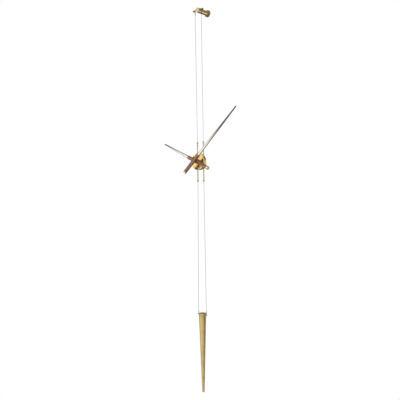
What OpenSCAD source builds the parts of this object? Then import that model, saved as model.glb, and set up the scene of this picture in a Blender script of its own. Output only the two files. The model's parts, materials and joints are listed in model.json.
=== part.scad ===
// Pendulum wall clock: a brass wall arm with a swivelling T head, two thin steel cords,
// a round case with a quartz movement, two long hands and a hanging cone weight.
// Units are millimetres. Origin: middle of the wall face of the bracket, on the wall.
// +Z is up, +X is to the right for a person facing the clock, and the clock stands out towards -Y.

/* [Wall bracket] */
// Diameter of the wall rosette
rosette_d = 36; // [30:1:60]
// Thickness of the wall rosette
rosette_t = 7; // [5:0.5:12]
// Diameter of the arm and of its head
arm_d = 25; // [23:0.5:32]
// Length of the bracket from the wall to the front of the head
arm_len = 84.5; // [80:0.5:120]
// Length of the swivelling head
head_len = 42; // [38:0.5:60]
// Diameter of the spindle that the head turns on
spindle_d = 12; // [8:0.5:14]
// Diameter of the wall stud's threaded hole, at the thread's inner diameter
stud_hole_d = 5; // [4:0.1:7]
// Depth of the wall stud's threaded hole
stud_hole_depth = 26; // [15:1:34]

/* [Crossbar] */
// Diameter of the crossbar
bar_d = 9; // [7:0.5:12]
// Length of the crossbar
bar_len = 68; // [60:1:90]
// Distance from the front of the head to the middle of the crossbar
bar_setback = 8.5; // [7:0.5:12]

/* [Cords] */
// Diameter of the steel cords
cord_d = 1.8; // [1:0.1:2.2]
// Distance between the cords at the crossbar
cord_gap_top = 43; // [36:1:50]
// Distance between the cords at the case
cord_gap_case = 41; // [34:1:46]
// Distance between the cords at the weight
cord_gap_weight = 54; // [48:1:70]
// How far the case and the weight hang nearer to the wall than the crossbar
hang_back = 5.65; // [0:0.05:8]

/* [Guide tubes] */
// Outer diameter of the two tubes that the case slides on
tube_d = 6; // [5:0.5:8]
// Bore of the tubes
tube_bore = 3.8; // [3:0.1:5]
// Length of the tubes with their end collars
tube_len = 206; // [140:1:260]
// Diameter of the end collars
collar_d = 9; // [8:0.5:12]
// Length of an end collar
collar_len = 9; // [7:0.5:14]

/* [Case] */
// Distance from the crossbar down to the hands' axis
case_drop = 780; // [500:5:1000]
// Outer diameter of the round case
case_d = 86; // [85:1:120]
// Depth of the case
case_depth = 19.5; // [19.5:0.5:30]
// Thickness of the case's side wall
case_wall = 2; // [1.5:0.1:2.4]
// Thickness of the case's front face
front_t = 1.5; // [1:0.1:2]
// Thickness of the rear cover
cover_t = 1.5; // [1:0.1:2]

/* [Hands] */
// Diameter of the walnut stocks of the hands
stock_d = 18.5; // [15.5:0.5:24]
// Largest diameter of the metal needles
needle_d = 14.5; // [11:0.5:15.5]
// Diameter of the needles near the tip
needle_tip_d = 6.2; // [4:0.2:8]
// Wall of the hollow needles
needle_wall = 0.6; // [0.5:0.1:1.2]
// Length of the metal caps at the tails
tail_cap_len = 10; // [6:0.5:16]
// Minute hand, from the hub to the tip
minute_reach = 377; // [250:1:450]
// Minute hand, from the hub to the end of the tail
minute_tail = 85; // [75:1:120]
// Minute hand, from the hub to the end of the walnut
minute_wood = 48; // [30:1:80]
// Minute hand, direction at rest, clockwise from straight up
minute_angle = 48.8; // [0:0.1:360]
// Hour hand, from the hub to the tip
hour_reach = 254; // [160:1:300]
// Hour hand, from the hub to the end of the tail
hour_tail = 91; // [75:1:120]
// Hour hand, from the hub to the end of the walnut
hour_wood = 59; // [30:1:80]
// Hour hand, direction at rest, clockwise from straight up
hour_angle = -65; // [-180:0.1:180]

/* [Weight] */
// Distance from the crossbar down to the top face of the weight
weight_drop = 1560; // [1100:5:1900]
// Length of the cone
weight_len = 407; // [250:1:500]
// Diameter of the cone at its top
weight_top_d = 38; // [32:1:44]
// Diameter of the cone at its tip
weight_tip_d = 11.6; // [6:0.2:20]
// Diameter of the pin through the weight
pin_d = 5; // [4:0.5:7]
// Distance from the top face down to the pin
pin_drop = 7; // [6:0.5:14]

/* [Hidden] */

$fn = 64;
// clearance round a shaft that turns, a piece that is held fast, and a plain gap
run_fit = 0.05;
snug = 0.02;
gap = 0.3;
// a little more than flush, for cuts
past = 1;

// bracket
bar_y = -(arm_len - bar_setback);
head_back_y = -(arm_len - head_len);
spindle_end_y = bar_y + bar_d / 2 + 5;
groove_y = spindle_end_y + 6;
groove_w = 3;
groove_deep = 1.2;
screw_d = 4;
screw_sink = 0.6;
bar_edge = 0.8;
bar_groove_w = 2.6;
bar_groove_deep = 0.7;

// cords
cord_y = bar_y + hang_back;
loop_top_r = bar_d / 2 - bar_groove_deep + run_fit + cord_d / 2;
pin_groove_w = 2.6;
pin_groove_deep = 0.5;
loop_pin_r = pin_d / 2 - pin_groove_deep + run_fit + cord_d / 2;
ferrule_d = cord_d + 2.2;
ferrule_len = 9;
collar_lip = 1;

// case
case_back_y = cord_y - tube_d / 2 - 0.7;
case_front_y = case_back_y - case_depth;
case_in_d = case_d - 2 * case_wall;
cover_d = case_d - 4.6;
clamp_w = cord_gap_case + tube_d + 4;
clamp_back_y = cord_y + tube_d / 2 + 1.5;
clamp_screw_x = 10;
clamp_screw_d = 3;
clamp_head_d = 5;
clamp_head_t = 1;
clamp_thread = 5;
boss_d = 6;
boss_ring_r = case_in_d / 2 - boss_d / 2 - 0.8;
small_screw_d = 2.5;
cover_head_d = 4.6;
cover_head_t = 1.3;
cover_screw_len = 8;

// movement: a standard 56 mm square quartz unit for one AA cell
mov_w = 56;
mov_t = 15.5;
mov_wall = 1.2;
washer_t = 0.5;
mov_front_y = case_front_y + front_t + washer_t;
mov_back_y = mov_front_y + mov_t;
clamp_offset = mov_w / 2 + clamp_head_d / 2 + 1;
clamp_h = min(6, 2 * (boss_ring_r - cover_head_d / 2 - gap - clamp_offset));
thread_d = 8;
neck_gap = 0.1;
nut_t = 1.8;
nut_af = 11;
tube_out_d = 5;
arbor_d = 3;
cell_d = 14.2;
cell_len = 50.2;
cell_z = -17.4;
cell_depth = mov_t - mov_wall - gap - cell_d / 2;
pivot_d = 1;
pivot_wall = 0.4;
pivot_start = 0.5;
pivot_end = 9.9;
knob_shaft_d = 3;
split_at = 9.2;
plate_at = 9.4;
plate_end = 10;

// gear train: tooth numbers, modules, and where the wheels stand round the hands' axis
teeth_minute = 12;
teeth_motion = 36;
teeth_motion_pinion = 10;
teeth_hour = 40;
teeth_setting = 24;
teeth_centre = 60;
teeth_third = 64;
teeth_leaf = 8;
mod_motion = 0.4;
motion_dist = mod_motion * (teeth_minute + teeth_motion) / 2;
mod_hour = 2 * motion_dist / (teeth_hour + teeth_motion_pinion);
setting_dist = mod_motion * (teeth_motion + teeth_setting) / 2;
mod_train = 0.25;
third_dist = mod_train * (teeth_centre + teeth_leaf) / 2;
fourth_dist = mod_train * (teeth_third + teeth_leaf) / 2;
motion_dir = 45;
setting_dir = 20;
third_dir = 150;
fourth_dir = 75;
function polar(r, a) = [r * cos(a), r * sin(a)];
function mesh_phase(dir, teeth) = dir + 180 + 180 / teeth;
motion_at = polar(motion_dist, motion_dir);
setting_at = motion_at + polar(setting_dist, setting_dir);
third_at = polar(third_dist, third_dir);
fourth_at = third_at + polar(fourth_dist, fourth_dir);
rotor_at = [-17.5, 17];
coil_at = [12, 21.8];

// hands
hour_y = case_front_y - nut_t - 0.5 - stock_d / 2;
hand_gap = 2;
minute_y = hour_y - stock_d - hand_gap;
bush_d = 12.5;
hub_wall = 2.5;
arbor_grip = 3;
cap_spigot = 3;
spigot_d = 8;
spigot_len = 12;
slug_d = 13;
minute_slug = 51.5;
hour_slug = 2.1;

// weight
pin_z = -weight_drop - pin_drop;
pin_len = cord_gap_weight + 8;
plug_sink = 0.4;

// a round rod along Y, X or Z between two values
module rod_y(y0, y1, d) {
  translate([0, min(y0, y1), 0])
    rotate([-90, 0, 0])
      cylinder(h = abs(y1 - y0), d = d);
}
module rod_x(x0, x1, d) {
  translate([min(x0, x1), 0, 0])
    rotate([0, 90, 0])
      cylinder(h = abs(x1 - x0), d = d);
}
// a lathe-turned piece with its axis along Y: each point is [radius, depth towards the front]
module turned_y(points) {
  rotate([90, 0, 0])
    rotate_extrude()
      polygon(points);
}
// a straight round rod between any two points
module rod_between(a, b, d) {
  v = b - a;
  span = norm(v);
  tilt = acos(v[2] / span);
  turn = atan2(v[1], v[0]);
  translate(a)
    rotate([0, tilt, turn])
      cylinder(h = span, d = d);
}
// everything that is placed from the hands' axis
module at_clock() {
  translate([0, 0, -case_drop])
    children();
}
// a flat layer of the movement between two depths, measured forwards from its back face
module layer(d0, d1) {
  translate([0, mov_back_y - d0, -case_drop])
    rotate([90, 0, 0])
      linear_extrude(d1 - d0)
        children();
}
// a gear outline with one tooth pointing along phase
module gear(teeth, mod, phase) {
  r = teeth * mod / 2;
  tip = r + 0.75 * mod;
  root = r - 1.15 * mod;
  step = 360 / teeth;
  polygon([
    for (i = [0 : teeth - 1])
      for (p = [[root, -0.26], [tip, -0.1], [tip, 0.1], [root, 0.26]])
        polar(p[0], phase + step * (i + p[1]))
  ]);
}
module spot(at, d) {
  translate(at)
    circle(d = d);
}

// ---- wall bracket
module wall_rosette() {
  edge = 1.5;
  color("peru")
    turned_y([
      [spindle_d / 2 + run_fit, 0], [rosette_d / 2, 0], [rosette_d / 2, rosette_t - edge],
      [rosette_d / 2 - edge, rosette_t], [spindle_d / 2 + run_fit, rosette_t]
    ]);
}

module bracket_arm() {
  flare = 2.5;
  flare_len = 7;
  back = rosette_t;
  front = -head_back_y - gap;
  end = -spindle_end_y;
  color("peru")
    difference() {
      turned_y([
        [0, 0], [spindle_d / 2, 0], [spindle_d / 2, back], [arm_d / 2 + flare, back],
        [arm_d / 2 + flare, back + 1], [arm_d / 2, back + 1 + flare_len], [arm_d / 2, front],
        [spindle_d / 2, front], [spindle_d / 2, -groove_y - groove_w / 2],
        [spindle_d / 2 - groove_deep, -groove_y - groove_w / 2],
        [spindle_d / 2 - groove_deep, -groove_y + groove_w / 2],
        [spindle_d / 2, -groove_y + groove_w / 2], [spindle_d / 2, end], [0, end]
      ]);
      rod_y(past, -stud_hole_depth, stud_hole_d);
    }
}

module bracket_head() {
  edge = 1;
  color("burlywood")
    difference() {
      turned_y([
        [0, -head_back_y], [arm_d / 2, -head_back_y], [arm_d / 2, arm_len - edge],
        [arm_d / 2 - edge, arm_len], [0, arm_len]
      ]);
      rod_y(head_back_y + past, spindle_end_y - gap, spindle_d + 2 * run_fit);
      translate([0, bar_y, 0])
        rod_x(-arm_d, arm_d, bar_d + 2 * snug);
      for (y = [groove_y, bar_y])
        translate([0, y, -arm_d / 2 - past])
          cylinder(h = arm_d / 2, d = screw_d + 2 * snug);
    }
}

// a grub screw with a hexagon socket at its lower end
module grub_screw(length, d) {
  key_d = d * 0.5;
  key_deep = d * 0.6;
  difference() {
    cylinder(h = length, d = d);
    translate([0, 0, -past])
      cylinder(h = key_deep + past, d = key_d, $fn = 6);
  }
}

module head_screw() {
  depth = arm_d / 2 - screw_sink;
  tip_d = 2.2;
  color("dimgray")
    translate([0, groove_y, -depth])
      union() {
        grub_screw(depth - spindle_d / 2 - 2 * gap, screw_d);
        cylinder(h = depth - spindle_d / 2 + groove_deep - gap, d = tip_d);
      }
}

module crossbar() {
  loops = cord_gap_top / 2;
  color("tan")
    translate([0, bar_y, 0])
      rotate([0, 90, 0])
        difference() {
          translate([0, 0, -bar_len / 2])
            rotate_extrude()
              polygon([
                [0, 0], [bar_d / 2 - bar_edge, 0], [bar_d / 2, bar_edge],
                [bar_d / 2, bar_len - bar_edge], [bar_d / 2 - bar_edge, bar_len], [0, bar_len]
              ]);
          for (s = [-1, 1])
            translate([0, 0, s * loops - bar_groove_w / 2])
              difference() {
                cylinder(h = bar_groove_w, d = bar_d + past);
                cylinder(h = bar_groove_w, d = bar_d - 2 * bar_groove_deep);
              }
        }
}

module crossbar_screw() {
  color("dimgray")
    translate([0, bar_y, -arm_d / 2 + screw_sink])
      grub_screw(arm_d / 2 - screw_sink - bar_d / 2 - snug, screw_d);
}

// ---- cords: side is -1 for the left cord and 1 for the right one
function cord_points(side) = [
  [side * cord_gap_top / 2, bar_y, 0],
  [side * cord_gap_case / 2, cord_y, -case_drop + tube_len / 2],
  [side * cord_gap_case / 2, cord_y, -case_drop - tube_len / 2],
  [side * cord_gap_weight / 2, cord_y, pin_z]
];
function towards(a, b, dist) = a + dist * (b - a) / norm(b - a);

module cord(side) {
  p = cord_points(side);
  top = towards(p[0], p[1], loop_top_r);
  low = towards(p[3], p[2], loop_pin_r);
  color("silver")
    union() {
      translate(p[0])
        rotate([0, 90, 0])
          rotate_extrude()
            translate([loop_top_r, 0])
              circle(d = cord_d);
      rod_between(top, p[1], cord_d);
      translate(p[1])
        sphere(d = cord_d + 2 * snug);
      rod_between(p[1], p[2], cord_d);
      translate(p[2])
        sphere(d = cord_d + 2 * snug);
      rod_between(p[2], low, cord_d);
      translate(p[3])
        rotate([0, 90, 0])
          rotate_extrude()
            translate([loop_pin_r, 0])
              circle(d = cord_d);
    }
}
module cord_left() {
  cord(-1);
}
module cord_right() {
  cord(1);
}

module ferrule(from, to, start) {
  a = towards(from, to, start);
  b = towards(from, to, start + ferrule_len);
  difference() {
    rod_between(a, b, ferrule_d);
    rod_between(towards(from, to, start - past), towards(from, to, start + ferrule_len + past),
                cord_d + 2 * snug);
  }
}
module upper_ferrules() {
  color("gray")
    for (s = [-1, 1])
      ferrule(cord_points(s)[0], cord_points(s)[1], loop_top_r + cord_d);
}
module lower_ferrules() {
  color("gray")
    for (s = [-1, 1])
      ferrule(cord_points(s)[3], cord_points(s)[2], loop_pin_r + cord_d);
}

// ---- guide tubes
module at_tubes() {
  for (s = [-1, 1])
    translate([s * cord_gap_case / 2, cord_y, -case_drop])
      children();
}
module guide_tubes() {
  color("darkkhaki")
    at_tubes()
      translate([0, 0, -tube_len / 2 + collar_lip])
        difference() {
          cylinder(h = tube_len - 2 * collar_lip, d = tube_d);
          translate([0, 0, -past])
            cylinder(h = tube_len, d = tube_bore);
        }
}
module collar() {
  edge = 1;
  difference() {
    rotate_extrude()
      polygon([
        [tube_d / 2 + snug, collar_lip], [tube_bore / 2, collar_lip], [tube_bore / 2, 0],
        [collar_d / 2 - edge, 0], [collar_d / 2, edge], [collar_d / 2, collar_len - edge],
        [collar_d / 2 - edge, collar_len], [tube_d / 2 + snug, collar_len]
      ]);
    translate([0, 0, collar_len / 2])
      rotate([-90, 0, 0])
        cylinder(h = collar_d, d = small_screw_d + 2 * snug);
  }
}
module upper_collars() {
  color("gold")
    at_tubes()
      translate([0, 0, tube_len / 2])
        mirror([0, 0, 1])
          collar();
}
module lower_collars() {
  color("gold")
    at_tubes()
      translate([0, 0, -tube_len / 2])
        collar();
}
module collar_screws() {
  color("dimgray")
    at_tubes()
      for (s = [-1, 1])
        translate([0, collar_d / 2, s * (tube_len / 2 - collar_len / 2)])
          rotate([90, 0, 0])
            grub_screw((collar_d - tube_d) / 2 - snug, small_screw_d);
}

module tube_clamp(z) {
  at_clock()
    translate([0, 0, z])
      difference() {
        translate([-clamp_w / 2, case_back_y + snug, -clamp_h / 2])
          cube([clamp_w, clamp_back_y - case_back_y - snug, clamp_h]);
        for (s = [-1, 1])
          translate([s * cord_gap_case / 2, cord_y, -clamp_h])
            cylinder(h = 2 * clamp_h, d = tube_d + 2 * snug);
        for (s = [-1, 1])
          translate([s * clamp_screw_x, 0, 0])
            rod_y(case_back_y - past, case_back_y + clamp_thread + 1, clamp_screw_d + 2 * snug);
      }
}
module upper_tube_clamp() {
  color("goldenrod")
    tube_clamp(clamp_offset);
}
module lower_tube_clamp() {
  color("goldenrod")
    tube_clamp(-clamp_offset);
}
module clamp_screws() {
  color("dimgray")
    at_clock()
      for (s = [-1, 1])
        for (t = [-1, 1])
          translate([s * clamp_screw_x, case_back_y - cover_t - snug, t * clamp_offset])
            union() {
              rod_y(0, cover_t + clamp_thread, clamp_screw_d);
              rod_y(0, -clamp_head_t, clamp_head_d);
            }
}

// ---- case
module case_shell() {
  edge = 1;
  back_r = 3;
  front = -case_front_y;
  back = -case_back_y;
  seat = back + cover_t;
  color("goldenrod")
    at_clock()
      difference() {
        union() {
          turned_y(concat(
            [[0, front], [case_d / 2 - edge, front], [case_d / 2, front - edge]],
            [for (a = [0 : 15 : 90]) [case_d / 2 + back_r * (cos(a) - 1), back - back_r * (sin(a) - 1)]],
            [[cover_d / 2, back], [cover_d / 2, seat]],
            [[case_in_d / 2, seat], [case_in_d / 2, front - front_t], [0, front - front_t]]
          ));
          for (a = [0 : 90 : 270])
            rotate([0, a, 0])
              translate([boss_ring_r, 0, 0])
                rod_y(case_back_y - cover_t, case_front_y + front_t / 2, boss_d);
        }
        rod_y(case_front_y - past, mov_front_y, thread_d + 2 * neck_gap);
        for (a = [0 : 90 : 270])
          rotate([0, a, 0])
            translate([boss_ring_r, 0, 0])
              rod_y(case_back_y + past, case_back_y - cover_screw_len - 2, small_screw_d + 2 * snug);
      }
}

module rear_cover() {
  knob_hole = 15;
  color("darkgoldenrod")
    at_clock()
      difference() {
        rod_y(case_back_y, case_back_y - cover_t, cover_d - 2 * run_fit);
        translate([setting_at[0], 0, setting_at[1]])
          rod_y(case_back_y + past, case_back_y - cover_t - past, knob_hole);
        for (s = [-1, 1])
          for (t = [-1, 1])
            translate([s * clamp_screw_x, 0, t * clamp_offset])
              rod_y(case_back_y + past, case_back_y - cover_t - past, clamp_screw_d + 2 * snug);
        for (a = [0 : 90 : 270])
          rotate([0, a, 0])
            translate([boss_ring_r, 0, 0])
              rod_y(case_back_y + past, case_back_y - cover_t - past, small_screw_d + 2 * snug);
      }
}
module cover_screws() {
  color("dimgray")
    at_clock()
      for (a = [0 : 90 : 270])
        rotate([0, a, 0])
          translate([boss_ring_r, case_back_y, 0])
            difference() {
              union() {
                rod_y(snug, cover_head_t, cover_head_d);
                rod_y(snug, -cover_screw_len, small_screw_d);
              }
              rotate([-90, 0, 0])
                cylinder(h = cover_head_t + past, d = 2, $fn = 6);
            }
}

// ---- movement
module mov_outline(inset) {
  half = mov_w / 2 - inset;
  corner = 4 - inset;
  union() {
    square([2 * half, 2 * (half - corner)], center = true);
    square([2 * (half - corner), 2 * half], center = true);
    for (s = [-1, 1])
      for (t = [-1, 1])
        spot([s * (half - corner), t * (half - corner)], 2 * corner);
  }
}
module cell_bay(extra) {
  spring_room = 1.4;
  translate([0, cell_z])
    square([cell_len + spring_room + 2 * extra, cell_d + 2 * extra], center = true);
}
module movement_front() {
  color("dimgray")
    difference() {
      union() {
        difference() {
          layer(split_at, mov_t)
            mov_outline(0);
          layer(split_at - past, mov_t - mov_wall)
            mov_outline(mov_wall);
        }
        at_clock()
          rod_y(mov_front_y + mov_wall / 2, case_front_y - nut_t, thread_d);
      }
      at_clock()
        rod_y(mov_front_y + mov_wall + past, case_front_y - nut_t - past, tube_out_d + 2 * run_fit);
      layer(mov_t - mov_wall - past, mov_t - pivot_wall)
        spot(motion_at, pivot_d + 2 * run_fit);
    }
}
module movement_back() {
  rim = split_at - snug;
  color("dimgray")
    difference() {
      union() {
        difference() {
          layer(0, rim)
            mov_outline(0);
          layer(mov_wall, rim + past)
            mov_outline(mov_wall);
        }
        layer(0, rim)
          difference() {
            cell_bay(mov_wall);
            cell_bay(gap);
          }
      }
      layer(-past, rim)
        cell_bay(gap);
      for (at = [third_at, fourth_at, rotor_at])
        layer(pivot_wall, mov_wall + past)
          spot(at, pivot_d + 2 * run_fit);
      layer(-past, mov_wall + past)
        spot(setting_at, knob_shaft_d + 2 * run_fit);
    }
}
module train_plate() {
  color("gainsboro")
    layer(plate_at, plate_end)
      difference() {
        translate([-24, -7])
          square([48, 32]);
        circle(d = arbor_d + 2 * run_fit);
        for (at = [third_at, fourth_at, rotor_at, motion_at])
          spot(at, pivot_d + 2 * run_fit);
        spot(setting_at, knob_shaft_d + 2 * run_fit);
      }
}
module minute_arbor() {
  color("silver")
    union() {
      at_clock()
        rod_y(mov_back_y - 7.6, minute_y - arbor_grip, arbor_d);
      layer(8.2, 9)
        gear(teeth_centre, mod_train, third_dir);
      layer(10.2, 11.5)
        gear(teeth_minute, mod_motion, motion_dir);
    }
}
module hour_tube() {
  color("ivory")
    difference() {
      union() {
        at_clock()
          rod_y(mov_back_y - 12.2, hour_y - stock_d / 2 + 1.5, tube_out_d);
        layer(12.2, 13.2)
          gear(teeth_hour, mod_hour, motion_dir);
      }
      at_clock()
        rod_y(mov_back_y - 11, hour_y - stock_d, arbor_d + 2 * run_fit);
    }
}
module pivot(at, d0, d1) {
  layer(d0, d1)
    spot(at, pivot_d);
}
module motion_wheel() {
  color("ivory")
    union() {
      pivot(motion_at, plate_at + 0.1, mov_t - pivot_start);
      layer(10.4, 11.3)
        translate(motion_at)
          gear(teeth_motion, mod_motion, mesh_phase(motion_dir, teeth_motion));
      layer(11.3, 13.4)
        translate(motion_at)
          gear(teeth_motion_pinion, mod_hour, mesh_phase(motion_dir, teeth_motion_pinion));
    }
}
module third_wheel() {
  color("ivory")
    union() {
      pivot(third_at, pivot_start, pivot_end);
      layer(6.4, 7.2)
        translate(third_at)
          gear(teeth_third, mod_train, fourth_dir);
      layer(7.2, 9.2)
        translate(third_at)
          gear(teeth_leaf, mod_train, mesh_phase(third_dir, teeth_leaf));
    }
}
module fourth_wheel() {
  color("ivory")
    union() {
      pivot(fourth_at, pivot_start, pivot_end);
      layer(4.6, 5.4)
        translate(fourth_at)
          gear(teeth_centre, mod_train, 0);
      layer(5.4, 7.5)
        translate(fourth_at)
          gear(teeth_leaf, mod_train, mesh_phase(fourth_dir, teeth_leaf));
    }
}
module rotor() {
  color("slategray")
    union() {
      pivot(rotor_at, pivot_start, pivot_end);
      layer(2, 4)
        spot(rotor_at, 6);
      layer(4, 6.5)
        translate(rotor_at)
          gear(teeth_leaf, 0.3, 0);
    }
}
module stator() {
  color("lightgray")
    layer(2.5, 3.5)
      difference() {
        translate([-24, 11])
          square([12, 15.5]);
        spot(rotor_at, 7);
      }
}
module coil() {
  wind_d = 6;
  flange = 7;
  half = 9;
  color("chocolate")
    translate([coil_at[0], mov_back_y - 5.4, coil_at[1] - case_drop])
      union() {
        rod_x(-half, half, wind_d);
        rod_x(-half - 1, -half, flange);
        rod_x(half, half + 1, flange);
      }
}
module circuit_board() {
  color("darkgreen")
    union() {
      layer(2, 2.8)
        translate([3, -8.4])
          square([22, 12]);
      layer(2.8, 3.8)
        spot([10, -2.5], 5);
    }
}
module quartz_can() {
  color("silver")
    translate([16, mov_back_y - 4.2, -4.5 - case_drop])
      rod_x(0, 7, 2.4);
}
module battery() {
  nub = 1;
  color("orange")
    translate([0, mov_back_y - cell_depth, cell_z - case_drop])
      union() {
        rod_x(-cell_len / 2, cell_len / 2 - nub, cell_d);
        rod_x(cell_len / 2 - nub, cell_len / 2, 5.4);
      }
}
module battery_contacts() {
  plate = 0.3;
  color("silver")
    for (s = [-1, 1])
      translate([s * (cell_len / 2 + 0.05 + plate / 2), mov_back_y - cell_depth, cell_z - case_drop])
        cube([plate, 8, 9], center = true);
}
module setting_knob() {
  grip_d = 11;
  color("black")
    union() {
      translate([setting_at[0], 0, setting_at[1] - case_drop])
        rod_y(mov_back_y - 13.5, mov_back_y + 0.4, knob_shaft_d);
      translate([setting_at[0], 0, setting_at[1] - case_drop])
        rod_y(mov_back_y + 0.3, mov_back_y + 2.2, grip_d);
      layer(10.4, 11.3)
        translate(setting_at)
          gear(teeth_setting, mod_motion, mesh_phase(setting_dir, teeth_setting));
    }
}
module shaft_nut() {
  color("goldenrod")
    at_clock()
      difference() {
        translate([0, case_front_y, 0])
          rotate([90, 30, 0])
            cylinder(h = nut_t, d = nut_af / cos(30), $fn = 6);
        rod_y(case_front_y + past, case_front_y - nut_t - past, thread_d + 2 * snug);
      }
}
module shaft_washer() {
  color("black")
    at_clock()
      difference() {
        rod_y(mov_front_y, mov_front_y - washer_t, 20);
        rod_y(mov_front_y + past, mov_front_y - washer_t - past, thread_d + 2 * snug);
      }
}

// ---- hands: each is drawn pointing straight up and is then turned to its angle
module at_hand(y, angle) {
  translate([0, y, -case_drop])
    rotate([0, angle, 0])
      children();
}
// front_wall is the wood left in front of the bush: below zero, the hole goes right through
module stock(reach, tail, slug_len, front_wall) {
  low = -tail + tail_cap_len;
  difference() {
    translate([0, 0, low])
      cylinder(h = reach - low, d = stock_d);
    rod_y(-stock_d / 2 + front_wall, stock_d, bush_d + 2 * snug);
    translate([0, 0, reach - spigot_len - gap])
      cylinder(h = spigot_len + gap + past, d = spigot_d + 2 * snug);
    translate([0, 0, low - past])
      cylinder(h = cap_spigot + slug_len + gap + past, d = slug_d + 2 * snug);
  }
}
module needle(from, reach) {
  shoulder = 1;
  nose = 6;
  plug = 4;
  point_r = 0.3;
  taper = (needle_d - needle_tip_d) / 2 / (reach - from - nose);
  hollow_end = reach - nose - 60;
  hollow_r = needle_d / 2 - taper * (hollow_end - from) - needle_wall;
  rotate_extrude()
    polygon([
      [0, from - spigot_len], [spigot_d / 2, from - spigot_len], [spigot_d / 2, from + snug],
      [needle_d / 2 - shoulder, from + snug], [needle_d / 2, from + shoulder],
      [needle_tip_d / 2, reach - nose], [needle_tip_d / 4, reach - nose / 4],
      [point_r, reach], [0, reach], [0, hollow_end], [hollow_r, hollow_end],
      [needle_d / 2 - needle_wall, from + plug], [0, from + plug]
    ]);
}
module slug(tail, slug_len) {
  translate([0, 0, -tail + tail_cap_len + cap_spigot])
    cylinder(h = slug_len, d = slug_d);
}
module tail_cap(tail) {
  edge = 1.2;
  seat = -tail + tail_cap_len - snug;
  rotate_extrude()
    polygon([
      [0, -tail], [stock_d / 2 - edge, -tail], [stock_d / 2, -tail + edge], [stock_d / 2, seat],
      [slug_d / 2, seat], [slug_d / 2, seat + cap_spigot], [0, seat + cap_spigot]
    ]);
}
module hour_bush() {
  color("black")
    at_hand(hour_y, hour_angle)
      difference() {
        rod_y(stock_d / 2 - gap, -stock_d / 2 + gap, bush_d);
        rod_y(stock_d, -stock_d, tube_out_d + 2 * snug);
      }
}
module hour_stock() {
  color("saddlebrown")
    at_hand(hour_y, hour_angle)
      stock(hour_wood, hour_tail, hour_slug, -past);
}
module hour_needle() {
  color("silver")
    at_hand(hour_y, hour_angle)
      needle(hour_wood, hour_reach);
}
module hour_counterweight() {
  color("gray")
    at_hand(hour_y, hour_angle)
      slug(hour_tail, hour_slug);
}
module hour_tail_cap() {
  color("wheat")
    at_hand(hour_y, hour_angle)
      tail_cap(hour_tail);
}
module minute_bush() {
  color("black")
    at_hand(minute_y, minute_angle)
      difference() {
        rod_y(stock_d / 2 + hand_gap - 2 * gap, -stock_d / 2 + hub_wall + snug, bush_d);
        rod_y(stock_d, -arbor_grip - snug, arbor_d + 2 * snug);
      }
}
module minute_stock_rod() {
  color("saddlebrown")
    at_hand(minute_y, minute_angle)
      stock(minute_wood, minute_tail, minute_slug, hub_wall);
}
module minute_needle() {
  color("silver")
    at_hand(minute_y, minute_angle)
      needle(minute_wood, minute_reach);
}
module minute_counterweight() {
  color("gray")
    at_hand(minute_y, minute_angle)
      slug(minute_tail, minute_slug);
}
module minute_tail_cap() {
  color("wheat")
    at_hand(minute_y, minute_angle)
      tail_cap(minute_tail);
}

// ---- weight
module weight_cone() {
  edge = 0.8;
  color("darkkhaki")
    difference() {
      translate([0, cord_y, -weight_drop])
        rotate_extrude()
          polygon([
            [0, 0], [weight_top_d / 2 - edge, 0], [weight_top_d / 2, -edge],
            [weight_tip_d / 2, -weight_len + edge], [weight_tip_d / 2 - edge, -weight_len],
            [0, -weight_len]
          ]);
      translate([0, cord_y, pin_z])
        rod_x(-weight_top_d, weight_top_d, pin_d + 2 * snug);
      translate([0, cord_y, pin_z])
        cylinder(h = pin_drop + past, d = screw_d + 2 * snug);
    }
}
module weight_pin() {
  color("silver")
    translate([0, cord_y, pin_z])
      rotate([0, 90, 0])
        difference() {
          translate([0, 0, -pin_len / 2])
            cylinder(h = pin_len, d = pin_d);
          for (s = [-1, 1])
            translate([0, 0, s * cord_gap_weight / 2 - pin_groove_w / 2])
              difference() {
                cylinder(h = pin_groove_w, d = pin_d + past);
                cylinder(h = pin_groove_w, d = pin_d - 2 * pin_groove_deep);
              }
        }
}
module weight_screw() {
  color("dimgray")
    translate([0, cord_y, -weight_drop - plug_sink])
      mirror([0, 0, 1])
        grub_screw(pin_drop - plug_sink - pin_d / 2 - snug, screw_d);
}

wall_rosette();
bracket_arm();
bracket_head();
head_screw();
crossbar();
crossbar_screw();
cord_left();
cord_right();
upper_ferrules();
lower_ferrules();
guide_tubes();
upper_collars();
lower_collars();
collar_screws();
upper_tube_clamp();
lower_tube_clamp();
clamp_screws();
case_shell();
rear_cover();
cover_screws();
movement_front();
movement_back();
train_plate();
minute_arbor();
hour_tube();
motion_wheel();
third_wheel();
fourth_wheel();
rotor();
stator();
coil();
circuit_board();
quartz_can();
battery();
battery_contacts();
setting_knob();
shaft_nut();
shaft_washer();
hour_bush();
hour_stock();
hour_needle();
hour_counterweight();
hour_tail_cap();
minute_bush();
minute_stock_rod();
minute_needle();
minute_counterweight();
minute_tail_cap();
weight_cone();
weight_pin();
weight_screw();
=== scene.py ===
import json
import math

import bpy
from mathutils import Matrix, Vector


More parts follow.
